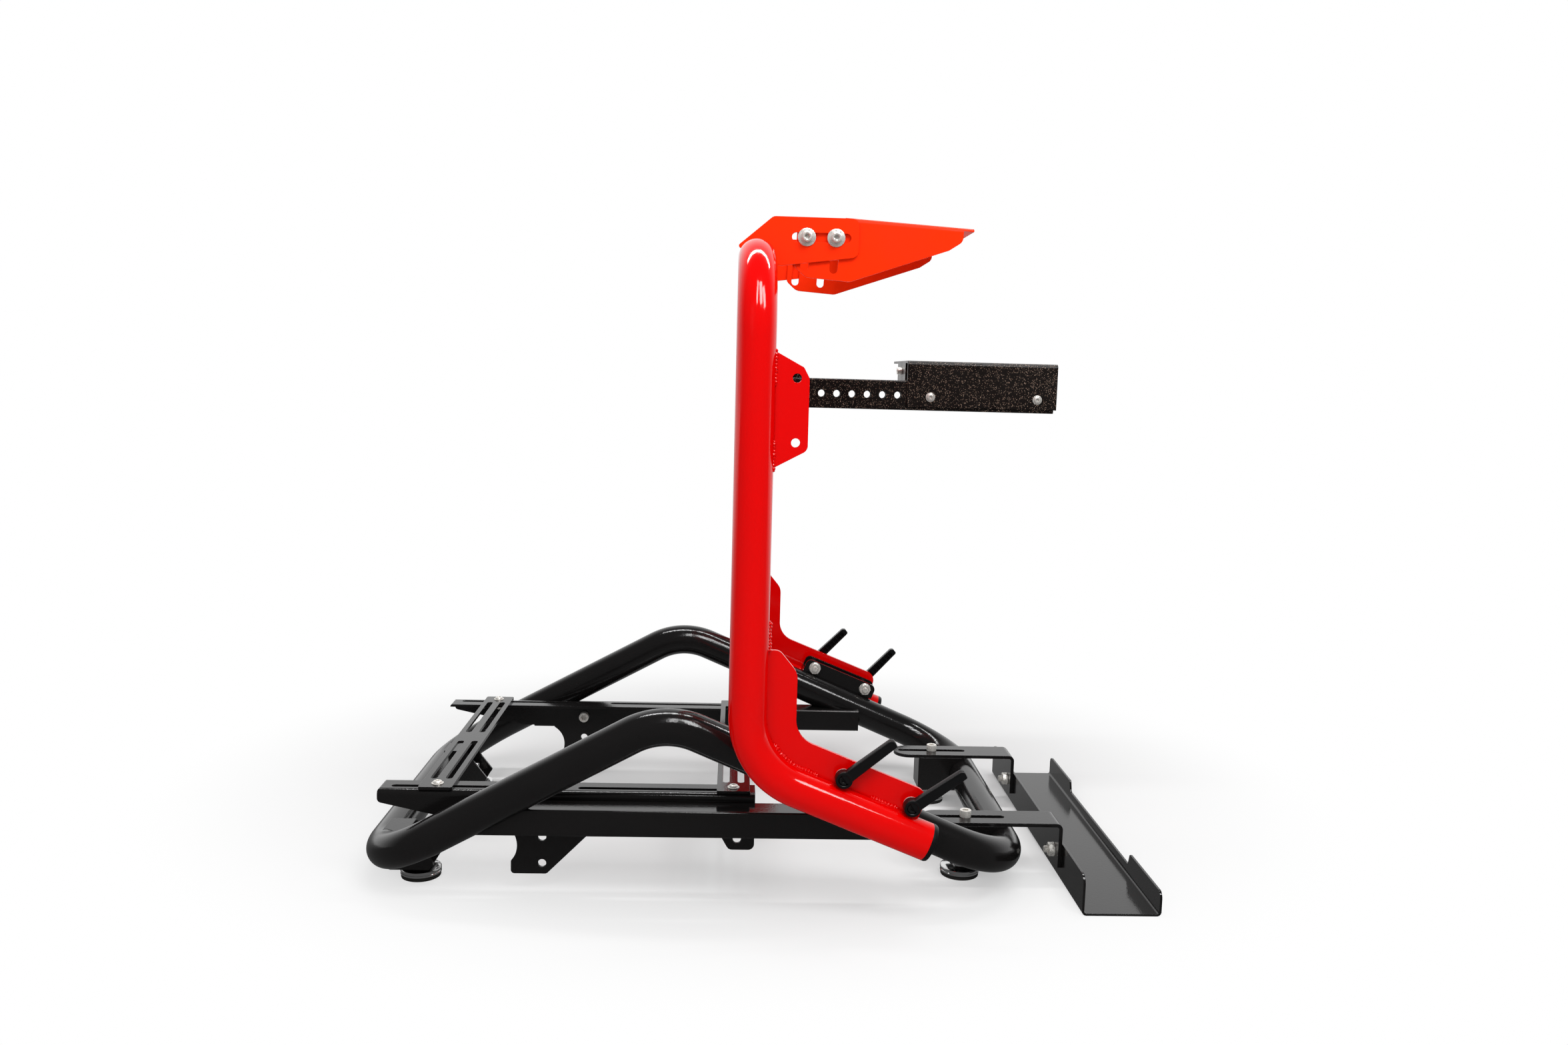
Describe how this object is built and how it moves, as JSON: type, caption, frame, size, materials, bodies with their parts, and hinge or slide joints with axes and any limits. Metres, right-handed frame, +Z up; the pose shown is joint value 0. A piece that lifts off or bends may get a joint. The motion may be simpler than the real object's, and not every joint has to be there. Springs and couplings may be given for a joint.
{
  "type": "driving game wheel stand",
  "caption": "Tubular wheel stand with a bent base loop, an arched upright with a tilted wheel deck, slotted pedal plates, a side shifter platform and a caster tray.",
  "frame": {"origin": "centre of the stand's bounding rectangle, on the floor", "axes": "+X towards the driver's seat, +Y towards the driver's right, +Z up"},
  "size_m": [1.0562, 0.8086, 0.8988],
  "materials": {
    "black_gloss_paint": "gloss powder coat with fine orange peel",
    "red_gloss_paint": "gloss powder coat",
    "orange_red_paint": "satin powder coat",
    "black_texture_paint": "coarse sparkling texture powder coat",
    "zinc_steel": "bright zinc plate",
    "chrome": "turned and chrome plated",
    "black_plastic": "moulded, fine grain",
    "rubber": "matt"
  },
  "bodies": {
    "frame": {"base_tube_left": "black_gloss_paint", "base_tube_right": "black_gloss_paint", "side_beam_left": "black_gloss_paint", "side_beam_right": "black_gloss_paint", "pedal_rail_left": "black_gloss_paint", "pedal_rail_right": "black_gloss_paint", "rail_bolts": "zinc_steel", "front_foot_bracket_left": "black_gloss_paint", "front_foot_bracket_right": "black_gloss_paint", "rear_foot_bracket_left": "black_gloss_paint", "rear_foot_bracket_right": "black_gloss_paint", "foot_nuts": "zinc_steel", "arm_screws": "zinc_steel", "upright_tube": "red_gloss_paint", "end_caps": "black_plastic", "gusset_left": "red_gloss_paint", "gusset_right": "red_gloss_paint", "clamp_bracket_left": "black_gloss_paint", "clamp_bracket_right": "black_gloss_paint", "clamp_nuts": "zinc_steel", "shifter_cheek_left": "red_gloss_paint", "shifter_cheek_right": "red_gloss_paint", "shifter_arm": "black_texture_paint", "shifter_arm_bolts": "zinc_steel", "shifter_platform": "black_texture_paint", "platform_screws": "zinc_steel", "wheel_cheek_left": "orange_red_paint", "wheel_cheek_right": "orange_red_paint"},
    "front_plate": {"front_pedal_plate": "black_gloss_paint", "front_plate_bolts": "zinc_steel", "front_plate_nuts": "zinc_steel"},
    "rear_plate": {"rear_pedal_plate": "black_gloss_paint", "rear_plate_bolts": "zinc_steel", "rear_plate_nuts": "zinc_steel"},
    "tray": {"caster_tray": "black_gloss_paint", "tray_arm_left": "black_gloss_paint", "tray_arm_right": "black_gloss_paint", "tray_bolts": "zinc_steel", "tray_nuts": "zinc_steel"},
    "deck_clamp": {"deck_bolts": "zinc_steel", "deck_washers": "zinc_steel", "deck_nuts": "zinc_steel"},
    "deck": {"wheel_deck": "orange_red_paint"},
    "front_lever_left": {"front_clamp_lever_left": "black_plastic", "front_clamp_stud_left": "zinc_steel"},
    "front_foot_left_leveller": {"front_foot_left": "chrome", "front_foot_pad_left": "rubber"},
    "rear_lever_left": {"rear_clamp_lever_left": "black_plastic", "rear_clamp_stud_left": "zinc_steel"},
    "rear_foot_left_leveller": {"rear_foot_left": "chrome", "rear_foot_pad_left": "rubber"},
    "front_lever_right": {"front_clamp_lever_right": "black_plastic", "front_clamp_stud_right": "zinc_steel"},
    "front_foot_right_leveller": {"front_foot_right": "chrome", "front_foot_pad_right": "rubber"},
    "rear_lever_right": {"rear_clamp_lever_right": "black_plastic", "rear_clamp_stud_right": "zinc_steel"},
    "rear_foot_right_leveller": {"rear_foot_right": "chrome", "rear_foot_pad_right": "rubber"}
  },
  "joints": [
    {"name": "front_plate_slide", "type": "slide", "parent": "frame", "child": "front_plate", "axis": [1, 0, 0], "range_m": [-0.055, 0.127]},
    {"name": "rear_plate_slide", "type": "slide", "parent": "frame", "child": "rear_plate", "axis": [1, 0, 0], "range_m": [-0.2, 0.012]},
    {"name": "tray_slide", "type": "slide", "parent": "frame", "child": "tray", "axis": [1, 0, 0], "range_m": [-0.03, 0.045]},
    {"name": "deck_reach", "type": "slide", "parent": "frame", "child": "deck_clamp", "axis": [1, 0, 0], "range_m": [-0.013, 0.013]},
    {"name": "deck_height", "type": "slide", "parent": "deck_clamp", "child": "deck", "axis": [0.0558, 0, 0.9984], "range_m": [0, 0.039]},
    {"name": "front_lever_left_turn", "type": "hinge", "parent": "frame", "child": "front_lever_left", "pos_m": [0.10307, -0.37517, 0.19], "axis": [0, -1, 0], "range_deg": [-50, 110]},
    {"name": "front_foot_left_turn", "type": "hinge", "parent": "frame", "child": "front_foot_left_leveller", "pos_m": [-0.45593, -0.24618, 0], "axis": [0, 0, 1], "continuous": true},
    {"name": "rear_lever_left_turn", "type": "hinge", "parent": "frame", "child": "rear_lever_left", "pos_m": [0.19023, -0.37517, 0.15479], "axis": [0, -1, 0], "range_deg": [-55, 60]},
    {"name": "rear_foot_left_turn", "type": "hinge", "parent": "frame", "child": "rear_foot_left_leveller", "pos_m": [0.28608, -0.22118, 0], "axis": [0, 0, 1], "continuous": true},
    {"name": "front_lever_right_turn", "type": "hinge", "parent": "frame", "child": "front_lever_right", "pos_m": [0.10307, 0.23683, 0.19], "axis": [0, -1, 0], "range_deg": [-57, 103]},
    {"name": "front_foot_right_turn", "type": "hinge", "parent": "frame", "child": "front_foot_right_leveller", "pos_m": [-0.45593, 0.10783, 0], "axis": [0, 0, 1], "continuous": true},
    {"name": "rear_lever_right_turn", "type": "hinge", "parent": "frame", "child": "rear_lever_right", "pos_m": [0.19023, 0.23683, 0.15479], "axis": [0, -1, 0], "range_deg": [-66, 49]},
    {"name": "rear_foot_right_turn", "type": "hinge", "parent": "frame", "child": "rear_foot_right_leveller", "pos_m": [0.28608, 0.08282, 0], "axis": [0, 0, 1], "continuous": true}
  ]
}
